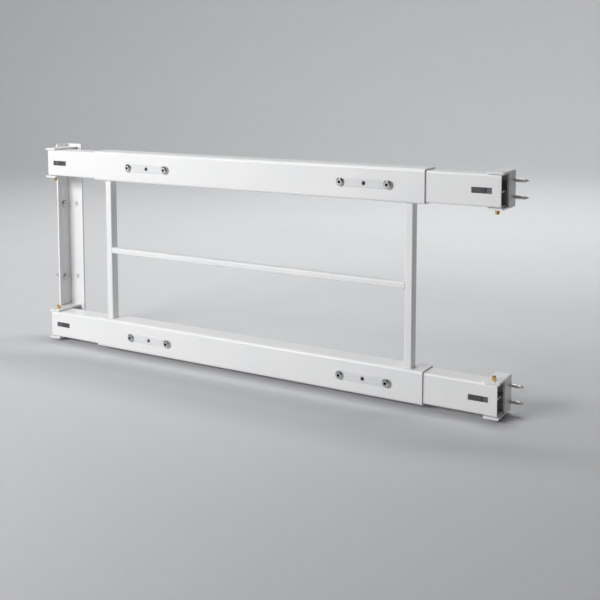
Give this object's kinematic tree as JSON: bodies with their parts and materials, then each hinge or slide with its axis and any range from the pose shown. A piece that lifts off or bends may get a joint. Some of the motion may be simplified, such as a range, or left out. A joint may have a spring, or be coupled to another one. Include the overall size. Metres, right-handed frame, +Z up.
{
  "type": "window security bar",
  "caption": "Telescoping swing-away window guard: rail tubes with sliding arms, upright bars, clamp straps, an angle hinge rail and sprung pin latches in ear brackets.",
  "frame": {"origin": "on the jamb face of the hinge angle, midway between its two jamb holes", "axes": "+X along the rails away from the hinge jamb, +Y into the window, +Z up"},
  "size_m": [0.9, 0.0646, 0.3578],
  "materials": {
    "white_coat": "smooth semi-gloss powder coat",
    "strap_plate": "satin pale grey coat",
    "zinc_plate": "zinc plated",
    "screw_zinc": "bright zinc plated",
    "brass": "turned brass",
    "pin_steel": "ground steel",
    "spring_steel": "oiled spring wire",
    "slide_grey": "moulded, fine texture"
  },
  "bodies": {
    "hinge_side": {"hinge_angle": "white_coat", "hinge_bracket_upper": "white_coat", "hinge_bracket_lower": "white_coat", "jamb_screw_upper": "screw_zinc", "jamb_screw_lower": "screw_zinc"},
    "left_arms": {"arm_upper_left": "white_coat", "arm_lower_left": "white_coat", "guide_upper_left": "zinc_plate", "guide_lower_left": "zinc_plate", "spring_upper_left": "spring_steel", "spring_lower_left": "spring_steel"},
    "guard_frame": {"rail_upper": "white_coat", "rail_lower": "white_coat", "upright_left": "white_coat", "upright_right": "white_coat", "middle_bar": "white_coat", "strap_upper_left": "strap_plate", "nut_plate_upper_left": "zinc_plate", "strap_screw_upper_left_a": "screw_zinc", "strap_screw_upper_left_b": "screw_zinc", "strap_lower_left": "strap_plate", "nut_plate_lower_left": "zinc_plate", "strap_screw_lower_left_a": "screw_zinc", "strap_screw_lower_left_b": "screw_zinc", "strap_upper_right": "strap_plate", "nut_plate_upper_right": "zinc_plate", "strap_screw_upper_right_a": "screw_zinc", "strap_screw_upper_right_b": "screw_zinc", "strap_lower_right": "strap_plate", "nut_plate_lower_right": "zinc_plate", "strap_screw_lower_right_a": "screw_zinc", "strap_screw_lower_right_b": "screw_zinc"},
    "thumb_upper_left": {"thumb_slide_upper_left": "slide_grey"},
    "latch_upper_left": {"plunger_upper_left": "brass", "cross_pin_upper_left": "pin_steel"},
    "thumb_lower_left": {"thumb_slide_lower_left": "slide_grey"},
    "latch_lower_left": {"plunger_lower_left": "brass", "cross_pin_lower_left": "pin_steel"},
    "right_arm_upper": {"arm_upper_right": "white_coat", "guide_upper_right": "zinc_plate", "spring_upper_right": "spring_steel"},
    "strike_upper": {"strike_bracket_upper": "white_coat", "strike_screw_upper_a": "screw_zinc", "strike_screw_upper_b": "screw_zinc"},
    "thumb_upper_right": {"thumb_slide_upper_right": "slide_grey"},
    "latch_upper_right": {"plunger_upper_right": "brass", "cross_pin_upper_right": "pin_steel"},
    "right_arm_lower": {"arm_lower_right": "white_coat", "guide_lower_right": "zinc_plate", "spring_lower_right": "spring_steel"},
    "strike_lower": {"strike_bracket_lower": "white_coat", "strike_screw_lower_a": "screw_zinc", "strike_screw_lower_b": "screw_zinc"},
    "thumb_lower_right": {"thumb_slide_lower_right": "slide_grey"},
    "latch_lower_right": {"plunger_lower_right": "brass", "cross_pin_lower_right": "pin_steel"}
  },
  "joints": [
    {"name": "swing", "type": "hinge", "parent": "hinge_side", "child": "left_arms", "pos_m": [0.0145, -0.032, 0], "axis": [0, 0, -1], "range_deg": [0, 105]},
    {"name": "left_extend", "type": "slide", "parent": "left_arms", "child": "guard_frame", "axis": [1, 0, 0], "range_m": [-0.052, 0.08]},
    {"name": "thumb_upper_left", "type": "slide", "parent": "left_arms", "child": "thumb_upper_left", "axis": [-1, 0, 0], "range_m": [0, 0.01]},
    {"name": "latch_upper_left", "type": "slide", "parent": "left_arms", "child": "latch_upper_left", "axis": [0, 0, 1], "range_m": [0, 0.011], "stiffness_N_per_m": 500, "springref_m": -0.004, "deforming": ["spring_upper_left"]},
    {"name": "thumb_lower_left", "type": "slide", "parent": "left_arms", "child": "thumb_lower_left", "axis": [-1, 0, 0], "range_m": [0, 0.01]},
    {"name": "latch_lower_left", "type": "slide", "parent": "left_arms", "child": "latch_lower_left", "axis": [0, 0, -1], "range_m": [0, 0.011], "stiffness_N_per_m": 500, "springref_m": -0.004, "deforming": ["spring_lower_left"]},
    {"name": "upper_right_extend", "type": "slide", "parent": "guard_frame", "child": "right_arm_upper", "axis": [1, 0, 0], "range_m": [-0.052, 0.08]},
    {"name": "upper_strike_pivot", "type": "hinge", "parent": "right_arm_upper", "child": "strike_upper", "pos_m": [0.8445, -0.032, 0.1475], "axis": [0, 0, -1], "range_deg": [0, 105]},
    {"name": "thumb_upper_right", "type": "slide", "parent": "right_arm_upper", "child": "thumb_upper_right", "axis": [1, 0, 0], "range_m": [0, 0.01]},
    {"name": "latch_upper_right", "type": "slide", "parent": "right_arm_upper", "child": "latch_upper_right", "axis": [0, 0, 1], "range_m": [0, 0.011], "stiffness_N_per_m": 500, "springref_m": -0.004, "deforming": ["spring_upper_right"]},
    {"name": "lower_right_extend", "type": "slide", "parent": "guard_frame", "child": "right_arm_lower", "axis": [1, 0, 0], "range_m": [-0.052, 0.08]},
    {"name": "lower_strike_pivot", "type": "hinge", "parent": "right_arm_lower", "child": "strike_lower", "pos_m": [0.8445, -0.032, -0.1475], "axis": [0, 0, -1], "range_deg": [0, 105]},
    {"name": "thumb_lower_right", "type": "slide", "parent": "right_arm_lower", "child": "thumb_lower_right", "axis": [1, 0, 0], "range_m": [0, 0.01]},
    {"name": "latch_lower_right", "type": "slide", "parent": "right_arm_lower", "child": "latch_lower_right", "axis": [0, 0, -1], "range_m": [0, 0.011], "stiffness_N_per_m": 500, "springref_m": -0.004, "deforming": ["spring_lower_right"]}
  ],
  "couplings": [
    {"joint": "latch_upper_left", "follows": "thumb_upper_left", "ratio": 1.1},
    {"joint": "latch_lower_left", "follows": "thumb_lower_left", "ratio": 1.1},
    {"joint": "latch_upper_right", "follows": "thumb_upper_right", "ratio": 1.1},
    {"joint": "latch_lower_right", "follows": "thumb_lower_right", "ratio": 1.1}
  ]
}
